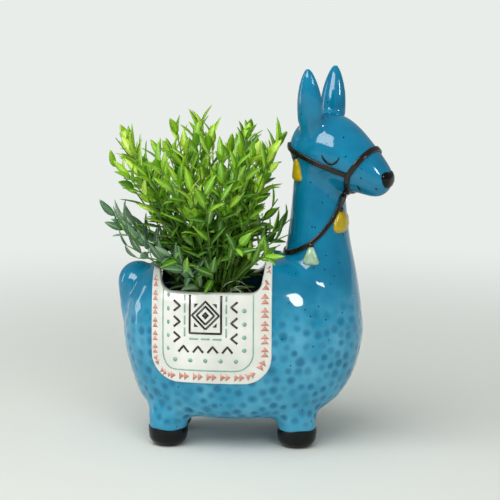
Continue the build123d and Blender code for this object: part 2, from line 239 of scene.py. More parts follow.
# glazes brushed over the white slip and fired with it: wet gloss, soft edges, thin and thick strokes
whiteGlaze = mottledFinish("whiteGlazedEarthenware", "#d9dad2", "#efefe8", 22, 0.12)
blackGlaze = mottledFinish("blackGlazedEarthenware", "#020302", "#0a0b0b", 12, 0.14, 0.22)
strapGlaze = mottledFinish("umberGlazedStrap", "#130f0d", "#241b15", 7, 0.12, 0.35)
yellowGlaze = mottledFinish("yellowGlazedTassel", "#a08c06", "#cdb014", 4, 0.12)
greenGlaze = mottledFinish("sageGlazedTassel", "#86ab8c", "#b2cdb0", 4, 0.12)
# underglaze colours stamped on the white: even, a little drier than the glaze round them
coralInk = mottledFinish("coralUnderglaze", "#c6816e", "#dca292", 5, 0.16)
tealInk = mottledFinish("tealUnderglaze", "#6fa295", "#96bfb0", 5, 0.16)
blackInk = mottledFinish("blackUnderglaze", "#141414", "#2b2a28", 5, 0.16)
plugRubber = mottledFinish("mouldedRubber", "#1c1c1c", "#2a2a2a", 3, 0.55)         # dull, faintly bloomed
foamDark = mottledFinish("floralFoam", "#23331f", "#3d5233", 2.5, 0.95)            # crumbly, no shine
peatMoss = mottledFinish("driedPeatMoss", "#120e0a", "#3b2d1c", 2.5, 0.95)         # dark, matted, no shine
tendrilPlastic = mottledFinish("paleTendrilPlastic", "#9db58a", "#cfdcc0", 5, 0.5)   # pale satin threads
stemPlastic = mottledFinish("mouldedStemPlastic", "#3e6a1d", "#6f9a2f", 6, 0.5)     # satin green rods
leafGreen = leafPlastic()
print("materials made")


# mesh helpers
def nodeShell(name):                     # points and triangles of a CAD node
    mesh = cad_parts[name].data
    mesh.calc_loop_triangles()
    points = np.empty(len(mesh.vertices) * 3)
    mesh.vertices.foreach_get("co", points)
    corners = np.empty(len(mesh.loop_triangles) * 3, dtype=np.int64)
    mesh.loop_triangles.foreach_get("vertices", corners)
    return points.reshape(-1, 3), corners.reshape(-1, 3)


def joined(shells):
    points, faces, start = [], [], 0
    for shellPoints, shellFaces in shells:
        points.append(np.asarray(shellPoints))
        faces.extend([[int(k) + start for k in face] for face in shellFaces])
        start += len(shellPoints)
    return np.concatenate(points), faces


def meshOf(name, points, faces):
    mesh = bpy.data.meshes.new(name)
    mesh.from_pydata(np.asarray(points).tolist(), [], [list(map(int, face)) for face in faces])
    return mesh


def ringFaces(rings, turns):              # quads from ring to ring of points, and the two end caps
    faces = []
    for ring in range(rings - 1):
        for k in range(turns):
            after = (k + 1) % turns
            faces.append((ring * turns + k, ring * turns + after,
                          (ring + 1) * turns + after, (ring + 1) * turns + k))
    faces.append(list(range(turns))[::-1])
    faces.append([(rings - 1) * turns + k for k in range(turns)])
    return faces


def baked(work):                          # the mesh of a working object with its modifiers applied
    done = bpy.data.meshes.new_from_object(work.evaluated_get(bpy.context.evaluated_depsgraph_get()))
    bpy.data.objects.remove(work)
    return done


def treeOf(points):
    tree = KDTree(len(points))
    for k, point in enumerate(points):
        tree.insert(point, k)
    tree.balance()
    return tree


weldGap = 0.005                           # mm


def remeshed(mesh, voxel, rounds):       # welded, rebuilt as one even closed skin and softened
    bm = bmesh.new()
    bm.from_mesh(mesh)
    bmesh.ops.remove_doubles(bm, verts=bm.verts, dist=weldGap * mm)
    bm.to_mesh(mesh)
    bm.free()
    work = bpy.data.objects.new("rough", mesh)
    scene.collection.objects.link(work)
    even = work.modifiers.new("even", "REMESH")
    even.mode = "VOXEL"
    even.voxel_size = voxel * mm
    soft = work.modifiers.new("soft", "SMOOTH")
    soft.iterations = rounds
    return baked(work)


def arraysOf(mesh):
    points = np.empty(len(mesh.vertices) * 3)
    mesh.vertices.foreach_get("co", points)
    normals = np.empty(len(mesh.vertices) * 3)
    mesh.vertex_normals.foreach_get("vector", normals)
    return points.reshape(-1, 3), normals.reshape(-1, 3)


def setPoints(mesh, points):
    mesh.vertices.foreach_set("co", points.ravel())
    mesh.update()


def paint(mesh, name, values):
    layer = mesh.attributes.new(name, "FLOAT", "POINT")
    layer.data.foreach_set("value", np.asarray(values, dtype=np.float32))


def addPiece(name, mesh, material, body, slot, *nodes):
    piece = bpy.data.objects.new(name, mesh)
    scene.collection.objects.link(piece)
    mesh.materials.clear()
    mesh.materials.append(material)
    mesh.polygons.foreach_set("use_smooth", [True] * len(mesh.polygons))
    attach(piece, body)
    if nodes:
        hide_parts(*nodes)
    return piece


def surfaceOf(mesh):
    return BVHTree.FromPolygons([v.co for v in mesh.vertices], [p.vertices for p in mesh.polygons])


def smoothStep(low, high, values):
    share = np.clip((values - low) / (high - low), 0, 1)
    return share * share * (3 - 2 * share)


# black hooves: a rounded cup of glaze round each foot, its upper edge wavering by hand
hoofShape = {
    "nodes": ["hoof_front_left", "hoof_front_right", "hoof_rear_left", "hoof_rear_right"],
    "bulge": 0.25, "round": 6.2, "waver": 0.5, "lip": 0.12,   # mm
    "rim": [(0.1, 0.3), (-2, -0.2)],     # mm out and up from the top edge
    "turns": 72,
}


def makeHoof(node):
    low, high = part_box(node)
    centre, height = (low + high) / 2, high.z
    radius, curve = (high.x - low.x) / 2, hoofShape["round"] * mm
    profile = [(0, 0), (radius - curve, 0)]
    for k in range(1, 8):
        angle = math.pi / 2 * k / 7
        profile.append((radius - curve + curve * math.sin(angle), curve - curve * math.cos(angle)))
    for share in (0.25, 0.5, 0.75, 1.0):
        swell = hoofShape["bulge"] * mm * math.sin(math.pi * share) ** 2
        profile.append((radius + swell + hoofShape["lip"] * mm * share, curve + (height - curve) * share))
    for out, up in hoofShape["rim"]:
        profile.append((radius + out * mm, height + up * mm))
    profile.append((0, profile[-1][1]))
    points, turns = [], hoofShape["turns"]
    start = chance.uniform(0, math.tau)
    for reach, up in profile[1:-1]:
        for k in range(turns):
            angle = math.tau * k / turns
            waver = math.sin(2 * angle + start) + 0.6 * math.sin(5 * angle - start)
            lift = hoofShape["waver"] * mm * waver * max(0, up / height) ** 4 / 1.6
            points.append((centre.x + reach * math.cos(angle), centre.y + reach * math.sin(angle), up + lift))
    faces = ringFaces(len(profile) - 2, turns)
    name = "hoof" + "".join(word.title() for word in node.split("_")[1:])
    return addPiece(name, meshOf(name, points, faces), blackGlaze, "planter", "black_glaze", node)


for node in hoofShape["nodes"]:
    makeHoof(node)
print("hooves made")


# the blue body: the cast pieces run into each other in one soft skin, with thumbed dents
skinShape = {
    "pieces": ["pot_body", "neck", "head", "ear_left", "ear_right", "tail",
               "leg_front_left", "leg_front_right", "leg_rear_left", "leg_rear_right"],
    "voxel": 0.9, "rounds": 7,            # mm and smoothing rounds
    "joins": {"neck": ("pot_body", 11), "head": ("neck", 8), "ear_left": ("head", 4.5),
              "ear_right": ("head", 4.5), "tail": ("pot_body", 3), "leg_front_left": ("pot_body", 15),
              "leg_front_right": ("pot_body", 15), "leg_rear_left": ("pot_body", 15),
              "leg_rear_right": ("pot_body", 15)},
    "joinRounds": 110,
    "legCore": (10.6, 4, 15),             # mm radius, low and high of the skin that runs down into each hoof
    "ventSeal": (8.5, 90, 108),           # mm radius, low and high of the seal in the neck's vent
    "dentPitch": 5.4, "dentReach": (2.0, 3.1), "dentDepth": 0.42,  # mm
    "dentStrength": (0.4, 1.0),
    "dentTop": (62, 106), "dentFoot": (11, 17),
    "lipHeight": 92.2, "lipSlope": 0.2025, "lipCorner": 6.5, "lipGap": 0.4,  # mm, the mouth's cut edge
    "lipFade": (0.7, 1.5), "lipRun": 18,
    "seamGap": 0.3,                       # mm, nodes this near to each other share a seam
    "innerGap": 20, "innerReach": 140,    # mm, how far the walls inside the pot look across to each other
}


def core(node, size):                      # upright plug through the middle of a node
    low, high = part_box(node)
    radius, bottom, top = size
    bm = bmesh.new()
    place = Matrix.Translation(((low.x + high.x) / 2, (low.y + high.y) / 2, (bottom + top) / 2 * mm))
    bmesh.ops.create_cone(bm, cap_ends=True, segments=48, radius1=radius * mm, radius2=radius * mm,
                          depth=(top - bottom) * mm, matrix=place)
    points = np.array([v.co for v in bm.verts])
    faces = [[v.index for v in face.verts] for face in bm.faces]
    bm.free()
    return points, faces


def joinWeights(points):
    weights = np.zeros(len(points))
    for piece, (other, reach) in skinShape["joins"].items():
        surface = surfaceOf(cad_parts[other].data)
        seam = []
        for corner in np.unique(np.round(nodeShell(piece)[0], 6), axis=0):
            hit = surface.find_nearest(Vector(corner), skinShape["seamGap"] * mm)
            if hit[0] is not None:
                seam.append(corner)
        tree = treeOf(seam)
        low, high = np.min(seam, axis=0) - reach * mm, np.max(seam, axis=0) + reach * mm
        for k in np.nonzero(np.all((points > low) & (points < high), axis=1))[0]:
            away = tree.find(points[k])[2] / (reach * mm)
            weights[k] = max(weights[k], 1 - away * away)
    return weights


def mainShell(mesh):                      # keeps the largest loose shell
    bm = bmesh.new()
    bm.from_mesh(mesh)
    bm.verts.ensure_lookup_table()
    seen, shells = set(), []
    for vert in bm.verts:
        if vert.index in seen:
            continue
        seen.add(vert.index)
        shell, front = [vert], [vert]
        while front:
            for edge in front.pop().link_edges:
                for near in edge.verts:
                    if near.index not in seen:
                        seen.add(near.index)
                        shell.append(near)
                        front.append(near)
        shells.append(shell)
    shells.sort(key=len)
    for shell in shells[:-1]:
        bmesh.ops.delete(bm, geom=shell, context="VERTS")
    bm.to_mesh(mesh)
    bm.free()
    print("  skin shells found:", len(shells))


def softenJoins(mesh):
    points = arraysOf(mesh)[0]
    work = bpy.data.objects.new("joins", mesh)
    scene.collection.objects.link(work)
    group = work.vertex_groups.new(name="joins")
    for k, weight in enumerate(joinWeights(points)):
        if weight > 0.02:
            group.add([k], float(weight), "REPLACE")
    soft = work.modifiers.new("soft", "SMOOTH")
    soft.vertex_group = "joins"
    soft.iterations = skinShape["joinRounds"]
    return baked(work)


def scattered(points, pitch):             # even, irregular spread of points, none nearer than the pitch
    kept, cells = [], {}
    for k in chance.permutation(len(points)):
        cell = tuple((points[k] // pitch).astype(int))
        around = [cells.get((cell[0] + a, cell[1] + b, cell[2] + c), ())
                  for a in (-1, 0, 1) for b in (-1, 0, 1) for c in (-1, 0, 1)]
        if all(np.sum((points[j] - points[k]) ** 2) >= pitch * pitch for group in around for j in group):
            cells.setdefault(cell, []).append(k)
            kept.append(k)
    return points[kept]


def innerMask(mesh, points, normals):     # true on the walls inside the pot
    surface = surfaceOf(mesh)
    low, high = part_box("pot_body")
    inside = np.zeros(len(points), dtype=bool)
    boxed = np.all((points > low) & (points < high), axis=1)
    for k in np.nonzero(boxed)[0]:
        start = Vector(points[k] + normals[k] * 0.5 * mm)
        spot, _, _, away = surface.ray_cast(start, Vector(normals[k]), skinShape["innerReach"] * mm)
        inside[k] = (spot is not None and away > skinShape["innerGap"] * mm
                     and low.z < spot.z < high.z and abs(spot.y) < high.y)
    return inside


def lipShare(points):                     # 1 on the cut lip of the mouth, fading to 0 beside it
    s = skinShape
    low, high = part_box("foam_block")
    slant = math.atan(1 / s["lipSlope"])
    run = s["lipCorner"] * math.tan(slant / 2)
    profile = []
    for end, side in ((low.x / mm - s["lipGap"], 1), (high.x / mm + s["lipGap"], -1)):
        edge = [(end - side * s["lipRun"] * s["lipSlope"], s["lipHeight"] + s["lipRun"])]
        for turn in np.linspace(math.pi / 2 + slant, math.pi / 2, 8):
            edge.append((end + side * (run + s["lipCorner"] * math.cos(turn)),
                         s["lipHeight"] + s["lipCorner"] * (1 - math.sin(turn))))
        profile += edge[::side]
    spots = points[:, [0, 2]] / mm
    away = np.full(len(points), 99.0)
    for a, b in zip(np.array(profile[:-1]), np.array(profile[1:])):
        along = np.clip(((spots - a) @ (b - a)) / max(1e-9, (b - a) @ (b - a)), 0, 1)
        away = np.minimum(away, np.linalg.norm(spots - a - along[:, None] * (b - a), axis=1))
    return 1 - smoothStep(*s["lipFade"], away)


def makeSkin():
    shells = [nodeShell(name) for name in skinShape["pieces"]]
    shells.append(core("neck", skinShape["ventSeal"]))
    shells += [core(hoof, skinShape["legCore"]) for hoof in hoofShape["nodes"]]
    mesh = remeshed(meshOf("skin", *joined(shells)), skinShape["voxel"], skinShape["rounds"])
    mainShell(mesh)
    mesh = softenJoins(mesh)
    points, normals = arraysOf(mesh)
    height = points[:, 2] / mm
    inner = innerMask(mesh, points, normals)
    flank = 1 - smoothStep(*skinShape["dentTop"], height)
    zone = flank * smoothStep(*skinShape["dentFoot"], height) * (1 - inner)
    centres = scattered(points[zone > 0.3], skinShape["dentPitch"] * mm)
    tree = treeOf(centres)
    dent = np.zeros(len(points))
    reaches = chance.uniform(*skinShape["dentReach"], len(centres)) * mm
    strengths = chance.uniform(*skinShape["dentStrength"], len(centres))
    for k in np.nonzero(zone > 0.01)[0]:
        dent[k] = max(strengths[near] * math.exp(-(away / reaches[near]) ** 3)
                      for spot, near, away in tree.find_n(points[k], 3))
    dent *= zone
    setPoints(mesh, points - normals * (dent * skinShape["dentDepth"] * mm)[:, None])
    paint(mesh, "dent", dent)
    paint(mesh, "flank", flank)
    paint(mesh, "rim", lipShare(points))
    print("  dents:", len(centres), "skin points:", len(points))
    return addPiece("blueSkin", mesh, blueSkin, "planter", "blue_glaze", *skinShape["pieces"])


skin = makeSkin()
skinSurface = surfaceOf(skin.data)
print("skin made")


# pieces laid on the skin: the CAD relief with its edges melted round, as the glaze leaves them
reliefs = {                               # nodes, voxel in mm, smoothing rounds, swell in mm, glaze, slot
    "saddleBlanket": (["saddle_blanket"], 0.45, 6, 0.15, whiteGlaze, "white_glaze"),
    "halterNoseband": (["halter_noseband"], 0.3, 8, 0.12, strapGlaze, "strap_glaze"),
    "halterCrownStrap": (["halter_crown_strap"], 0.3, 8, 0.12, strapGlaze, "strap_glaze"),
    "reins": (["reins"], 0.3, 8, 0.12, strapGlaze, "strap_glaze"),
}


def makeRelief(name, nodes, voxel, rounds, swell, material, slot):
    mesh = remeshed(meshOf(name, *joined([nodeShell(node) for node in nodes])), voxel, rounds)
    points, normals = arraysOf(mesh)
    setPoints(mesh, points + normals * swell * mm)
    return addPiece(name, mesh, material, "planter", slot, *nodes)


relief = {name: makeRelief(name, *row) for name, row in reliefs.items()}
print("reliefs made")


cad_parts["drain_plug"].data.materials.clear()
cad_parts["drain_plug"].data.materials.append(plugRubber)


# ink and glaze laid on a surface: closed strips and patches that follow it
def strip(surface, path, widths, lift, sink=0.25):
    points, faces = [], []
    laid = [surface.find_nearest(Vector(point))[:2] for point in path]
    for k, (spot, normal) in enumerate(laid):
        along = (laid[min(k + 1, len(laid) - 1)][0] - laid[max(k - 1, 0)][0]).normalized()
        beside = normal.cross(along).normalized() * (widths[k] / 2 * mm)
        for side in (-1, 1):
            edge, edgeNormal = surface.find_nearest(spot + beside * side)[:2]
            points += [edge + edgeNormal * lift * mm, edge - edgeNormal * sink * mm]
    for k in range(len(laid) - 1):
        a, b = 4 * k, 4 * k + 4
        faces += [(a, a + 2, b + 2, b), (a + 1, b + 1, b + 3, a + 3)]
        faces += [(a, b, b + 1, a + 1), (a + 2, a + 3, b + 3, b + 2)]
    last = 4 * len(laid) - 4
    faces += [(0, 1, 3, 2), (last, last + 2, last + 3, last + 1)]
    return np.array(points), faces


def patch(surface, outline, lift, sink=0.25):
    points, count = [], len(outline)
    for point in outline:
        spot, normal = surface.find_nearest(Vector(point))[:2]
        points += [spot + normal * lift * mm, spot - normal * sink * mm]
    faces = [[2 * k for k in range(count)], [2 * k + 1 for k in reversed(range(count))]]
    faces += [(2 * k, 2 * k + 1, (2 * k + 3) % (2 * count), (2 * k + 2) % (2 * count)) for k in range(count)]
    return np.array(points), faces


def dab(surface, outline, height, sink=0.4):     # rounded cushion of glaze over an outline on a surface
    count = len(outline)
    middle = surface.find_nearest(sum(outline, Vector()) / count)[0]
    rings = ((1.0, -sink), (1.0, 0.12 * height), (0.94, 0.5 * height), (0.82, 0.78 * height),
             (0.62, 0.94 * height), (0.34, height))
    points = []
    for share, rise in rings:
        for corner in outline:
            spot, normal = surface.find_nearest(middle + (corner - middle) * share)[:2]
            points.append(spot + normal * rise * mm)
    spot, normal = surface.find_nearest(middle)[:2]
    points.append(spot + normal * height * mm)
    top = (len(rings) - 1) * count
    faces = ringFaces(len(rings), count)[:-1]     # a fan to the crown in place of the upper cap
    faces += [(top + k, top + (k + 1) % count, len(points) - 1) for k in range(count)]
    return np.array(points), faces


stemTaper = 0.55                          # share of its radius that a stem loses by its tip


def stemShell(path, radius, sides=6):
    points = []
    for k, (place, along) in enumerate(path):
        beside = along.orthogonal().normalized()
        other = along.cross(beside)
        thick = radius * (1 - stemTaper * k / (len(path) - 1)) * mm
        for a in (math.tau * j / sides for j in range(sides)):
            points.append(place + (beside * math.cos(a) + other * math.sin(a)) * thick)
    return points, ringFaces(len(path), sides)


# tassels: plump dabs of yellow and sage glaze, each hung from a dark knot
tasselShape = {
    "bell": [(0.16, 0.0), (0.25, 0.12), (0.37, 0.3), (0.45, 0.5),       # shares of the width and the drop
             (0.47, 0.68), (0.44, 0.84), (0.33, 0.95), (0.14, 1.0)],
    "skirt": [(0.09, 0.0), (0.2, 0.16), (0.32, 0.42), (0.43, 0.7),
              (0.48, 0.86), (0.45, 0.95), (0.3, 1.0), (0.12, 1.02)],
    "height": 2.0, "knot": (1.5, 1.5), "knotHeight": 1.7, "knotRise": 0.6, "standOff": 30,   # mm
    "hung": [("tasselYellow", "tassel_yellow", "bell", yellowGlaze, "yellow_glaze"),
             ("tasselGreen", "tassel_green", "skirt", greenGlaze, "green_glaze"),
             ("tasselCrown", "tassel_crown", "skirt", yellowGlaze, "yellow_glaze")],
}
lids = [Vector(nodeShell(name)[0].mean(axis=0)) for name in ("eyelid_right", "eyelid_left")]
headSide = (lids[0] - lids[1]).normalized()      # out of the head's right cheek
headMiddle = (lids[0] + lids[1]) / 2


def hang(node, facing, corners):          # corners in shares of a node's width and drop, laid on the skin
    points = nodeShell(node)[0]
    level = Vector((0, 0, 1)).cross(facing).normalized()
    across = points @ np.array(level)
    middle, wide = (across.max() + across.min()) / 2, across.max() - across.min()
    top, tall = points[:, 2].max(), points[:, 2].max() - points[:, 2].min()
    depth = Vector(points.mean(axis=0)).dot(facing)
    spots = []
    for aside, down in corners:
        spot = level * (middle + aside * wide) + facing * depth + Vector((0, 0, top - down * tall))
        hit = skinSurface.ray_cast(spot + facing * tasselShape["standOff"] * mm, -facing)[0]
        spots.append(hit if hit is not None else skinSurface.find_nearest(spot)[0])
    return spots


def makeTassels():
    shape, knots = tasselShape, []
    for name, node, outline, material, slot in shape["hung"]:
        for hand, side in (("Right", 1), ("Left", -1)):
            facing = headSide * side if node == "tassel_crown" else Vector((0, -side, 0))
            own = node + "_" + hand.lower()
            half = shape[outline]
            spots = hang(own, facing, [(-w, t) for w, t in half] + [(w, t) for w, t in half[::-1]])
            points, faces = dab(skinSurface, spots, shape["height"])
            addPiece(name + hand, meshOf(name + hand, points, faces), material, "planter", slot, own)
            wide, tall = shape["knot"]
            rise = shape["knotRise"]
            turns = np.linspace(0, math.tau, 15)[:-1]
            size = np.ptp(nodeShell(own)[0], axis=0)
            level, drop = max(size[0], size[1]) / mm, size[2] / mm
            oval = [(math.cos(a) * wide / level, (-rise - tall * math.sin(a)) / drop) for a in turns]
            knots.append(dab(skinSurface, hang(own, facing, oval), shape["knotHeight"]))
    addPiece("tasselKnots", meshOf("tasselKnots", *joined(knots)), strapGlaze, "planter", "strap_glaze")


makeTassels()
print("tassels hung")


# the face: closed lids, nose and brush strokes, mirrored to the far cheek, and the reins' way under the jaw
faceShape = {
    # places are pixels of the photograph, widths and heights mm
    "lid": [(321.8, 155), (323, 158), (325.3, 161), (328.4, 163.5),
            (332, 164.4), (335.2, 163), (337.6, 160.6), (339.2, 157.6)],
    "lidWidths": [0.5, 0.9, 1.15, 1.3, 1.3, 1.15, 0.85, 0.5], "lidHeight": 0.3,
    "noseTop": (390.6, 171.8), "noseFoot": (386.8, 189.4), "noseHeight": 0.8,
    "noseSide": [(387.5, 171.8), (384.3, 172.5), (381.8, 174.6), (381, 177.6),
                 (381.8, 181.2), (383.2, 184.8), (384.8, 187.8)],
    "strokes": [([(357.6, 186.0), (358.6, 187.8), (360, 189.8), (361.6, 191.4)], [0.5, 1.0, 1.1, 0.5]),
                ([(360, 177.8), (361, 178.1), (362, 178.6)], [0.4, 0.6, 0.4]),
                ([(375.3, 188.4), (376.4, 189), (377.5, 189.4)], [0.4, 0.7, 0.4])],
    "reinUnder": [(348.6, 189.5), (347, 193), (345.2, 197), (343.6, 201), (342, 205), (340.6, 208)],
    "reinRadius": 1.15, "strokeHeight": 0.14,
}


def seenOnSkin(pixels):                   # skin behind each pixel, or the last depth where the skin ends
    spots, depth = [], None
    for pixel in pixels:
        start, sight = photoRay(pixel)
        hit, _, _, away = skinSurface.ray_cast(start, sight)
        depth = away if hit is not None else depth
        spots.append(start + sight * depth)
    return spots


def overCheek(spot):
    return spot - headSide * (2 * (spot - headMiddle).dot(headSide))


def makeFace():
    strokes = []
    for pixels, widths in faceShape["strokes"]:
        near = seenOnSkin(pixels)
        for path in (near, [overCheek(spot) for spot in near]):
            strokes.append(strip(skinSurface, path, widths, faceShape["strokeHeight"]))
    addPiece("mouthStrokes", meshOf("mouthStrokes", *joined(strokes)), blackGlaze, "planter", "black_glaze")
    near = seenOnSkin(faceShape["lid"])
    for hand, path in (("Right", near), ("Left", [overCheek(spot) for spot in near])):
        lid = strip(skinSurface, path, faceShape["lidWidths"], faceShape["lidHeight"])
        addPiece("eyelid" + hand, meshOf("eyelid" + hand, *lid), blackGlaze, "planter", "black_glaze",
                 "eyelid_" + hand.lower())
    ends = seenOnSkin([faceShape["noseTop"], faceShape["noseFoot"]])
    top, foot = [(spot + overCheek(spot)) / 2 for spot in ends]
    near = seenOnSkin(faceShape["noseSide"])
    outline = [top] + near + [foot] + [overCheek(spot) for spot in near[::-1]]
    outline = [skinSurface.find_nearest(spot)[0] for spot in outline]
    addPiece("nosePad", meshOf("nosePad", *dab(skinSurface, outline, faceShape["noseHeight"])), blackGlaze,
             "planter", "black_glaze", "nose_pad")
    near = seenOnSkin(faceShape["reinUnder"])
    far = []
    for k, spot in enumerate(near):
        share = k / (len(near) - 1)
        far.append(overCheek(spot) * (1 - share) + Vector((spot.x, -spot.y, spot.z)) * share)
    under = []
    for spots in (near, far):
        before, after = spots[:1] + spots[:-1], spots[1:] + spots[-1:]
        ways = [(b - a).normalized() for a, b in zip(before, after)]
        under.append(stemShell(list(zip(spots, ways)), faceShape["reinRadius"], 10))
    addPiece("reinUnderJaw", meshOf("reinUnderJaw", *joined(under)), strapGlaze, "planter", "strap_glaze")


makeFace()
print("face drawn")


# blanket print: folk borders in coral, teal and black round a framed diamond panel
printShape = {
    "centre": -3.1,                       # mm forward of the blanket's middle
    "wrap": (-20.0, 0.62),                # mm from the middle where the rump turns away, and its narrowing
    "arrowColumns": (-34.3, 33.5), "arrowRow": 4.0, "arrowPitch": 7.4, "arrowSize": (4.7, 2.9),
    "lineHalf": 27.0, "lineRow": 7.8, "lineCorner": 10.5, "lineWidth": 0.75,
    "dotHalf": 22.0, "dotRow": 13.6, "dotPitch": (8.6, 7.4), "dotSize": 2.5,
    "chevronHalf": 16.3, "chevronRow": 20.0, "chevronPitch": (8.3, 8.7), "chevronSize": (5.8, 3.6),
    "chevronWidth": 1.25,
    "dashHalf": 11.8, "dashRow": 26.0, "dashSize": (4.9, 1.7), "dashWidth": 0.95, "dashStart": 1.2,
    "panelHalf": 8.9, "panelRow": 29.2, "panelWidth": 1.2,
    "panelRise": 1.12, "diamonds": (0.86, 0.56), "gem": 0.24, "corner": 0.72,   # shares of the panel's half
    "cornerSize": 2.4, "strokeStep": 0.9, "flankDepth": 15,
    "lipLevel": 96, "lipLean": 0.25, "lipTaper": 0.044,   # mm up where the front column follows the lip
    "lift": 0.12,
}


def printLayout(hem, top):                # side view strokes and patches, in mm from the print's middle line
    p = printShape
    strokes = {"coral": [], "teal": [], "black": []}
    patches = {"coral": [], "teal": [], "black": []}

    def arrow(x, z, turn, scale=1.0):
        wide, tall = (size * scale for size in p["arrowSize"])
        for step in (-0.5, 0.5):
            foot = step * tall - tall / 2
            shape = [(-wide / 2, foot), (wide / 2, foot), (0, foot + tall)]
            patches["coral"].append([(x + a * math.cos(turn) + b * math.sin(turn),
                                      z - a * math.sin(turn) + b * math.cos(turn)) for a, b in shape])

    left, right = p["arrowColumns"]
    row = hem + p["arrowRow"]
    bend = p["lineCorner"] + p["lineRow"] - p["arrowRow"]
    count = round((right - left - 2 * bend) / p["arrowPitch"])
    for k in range(count + 1):
        arrow(left + bend + (right - left - 2 * bend) * k / count, row, math.pi / 2)
    for x, side in ((left, -1), (right, 1)):
        for share in (0.3, 0.7):
            around = math.pi / 2 * share
            arrow(x - side * bend * (1 - math.cos(around)), row + bend * (1 - math.sin(around)),
                  around if side > 0 else math.pi - around)
        for k in range(int((top - row - bend) / p["arrowPitch"]) + 1):
            z = row + bend + p["arrowPitch"] * (k + 0.1)
            past = max(0.0, z - p["lipLevel"]) * (side > 0)
            arrow(x + past * p["lipLean"], z, past * p["lipTaper"] / 2, 1 - past * p["lipTaper"])

    half, low, corner = p["lineHalf"], hem + p["lineRow"], p["lineCorner"]
    line = [(-half, top), (-half, low + corner)]
    line += [(-half + corner - corner * math.cos(a), low + corner - corner * math.sin(a))
             for a in np.linspace(0.2, math.pi / 2 - 0.2, 6)]
    line.append((-half + corner, low))
    line += [(-x, z) for x, z in line[::-1]]
    strokes["teal"].append((line, p["lineWidth"]))

    def dot(x, z):
        patches["teal"].append([(x + p["dotSize"] / 2 * math.cos(a), z + p["dotSize"] / 2 * math.sin(a))
                                for a in np.linspace(0, math.tau, 13)[:-1]])

    stepX, stepZ = p["dotPitch"]
    for k in range(-2, 3):
        dot(k * stepX, hem + p["dotRow"])
    for side in (-1, 1):
        for k in range(int((top - hem - p["dotRow"]) / stepZ)):
            dot(side * p["dotHalf"], hem + p["dotRow"] + stepZ * (k + 0.85))

    wide, deep = p["chevronSize"]
    stepX, stepZ = p["chevronPitch"]
    for k in range(4):
        x, z = (k - 1.5) * stepX, hem + p["chevronRow"]
        foot = z - deep / 2
        chevron = [(x - wide / 2, foot), (x, foot + deep), (x + wide / 2, foot)]
        strokes["black"].append((chevron, p["chevronWidth"]))
    for side in (-1, 1):
        for k in range(int((top - hem - p["chevronRow"]) / stepZ)):
            x, z = side * p["chevronHalf"], hem + p["chevronRow"] + stepZ * (k + 0.75)
            strokes["black"].append(([(x + side * deep / 2, z - wide / 2), (x - side * deep / 2, z),
                                      (x + side * deep / 2, z + wide / 2)], p["chevronWidth"]))

    dash, gap = p["dashSize"]
    low = hem + p["dashRow"]
    for k in range(-1, 2):
        x = k * (dash + gap)
        strokes["teal"].append(([(x - dash / 2, low), (x + dash / 2, low)], p["dashWidth"]))
    for side in (-1, 1):
        for k in range(int((top - low) / (dash + gap))):
            x, z = side * p["dashHalf"], low + p["dashStart"] + k * (dash + gap)
            strokes["teal"].append(([(x, z), (x, z + dash)], p["dashWidth"]))

    half, low = p["panelHalf"], hem + p["panelRow"]
    strokes["black"].append(([(-half, top), (-half, low), (half, low), (half, top)], p["panelWidth"]))
    middle = low + half * p["panelRise"]

    def diamond(reach):
        return [(0, middle - reach), (reach, middle), (0, middle + reach), (-reach, middle)]

    for share in p["diamonds"]:
        ring = diamond(half * share)
        strokes["black"].append((ring + ring[:1], p["panelWidth"]))
    patches["black"].append(diamond(half * p["gem"]))
    for side in (-1, 1):
        for up in (-1, 1):
            x, z = side * half * p["corner"], middle + up * half * p["corner"]
            patches["black"].append([(x, z), (x - side * p["cornerSize"], z), (x, z - up * p["cornerSize"])])
    return strokes, patches


def flankSpot(surface, middle, x, z, side):       # where a level line from outside meets the blanket
    turnAway, narrow = printShape["wrap"]
    x = middle + (x if x > turnAway else turnAway + (x - turnAway) * narrow)
    hit = surface.ray_cast(Vector((x * mm, side * 0.1, z * mm)), Vector((0, -side, 0)))
    return hit[0] if hit[0] is not None and hit[0].y * side > printShape["flankDepth"] * mm else None


def makePrint():
    low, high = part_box("saddle_blanket")
    surface = surfaceOf(relief["saddleBlanket"].data)
    middle = (low.x + high.x) / 2 / mm + printShape["centre"]
    strokes, patches = printLayout(low.z / mm, high.z / mm)
    inks = {"coral": coralInk, "teal": tealInk, "black": blackInk}
    for hand, side in (("Right", -1), ("Left", 1)):
        for ink, material in inks.items():
            shells = []
            for path, width in strokes[ink]:
                run = []
                for a, b in zip(path[:-1], path[1:]):
                    steps = max(1, round(math.dist(a, b) / printShape["strokeStep"]))
                    run += [(a[0] + (b[0] - a[0]) * k / steps, a[1] + (b[1] - a[1]) * k / steps)
                            for k in range(steps)]
                spots = [flankSpot(surface, middle, x, z, side) for x, z in run + [path[-1]]]
                spots = [spot for spot in spots if spot is not None]
                if len(spots) > 2:
                    shells.append(strip(surface, spots, [width] * len(spots), printShape["lift"]))
            for outline in patches[ink]:
                spots = [flankSpot(surface, middle, x, z, side) for x, z in outline]
                if all(spot is not None for spot in spots):
                    shells.append(patch(surface, spots if side < 0 else spots[::-1], printShape["lift"]))
            name = "print" + ink.title() + hand
            addPiece(name, meshOf(name, *joined(shells)), material, "planter", "white_glaze")


makePrint()
print("blanket print laid")


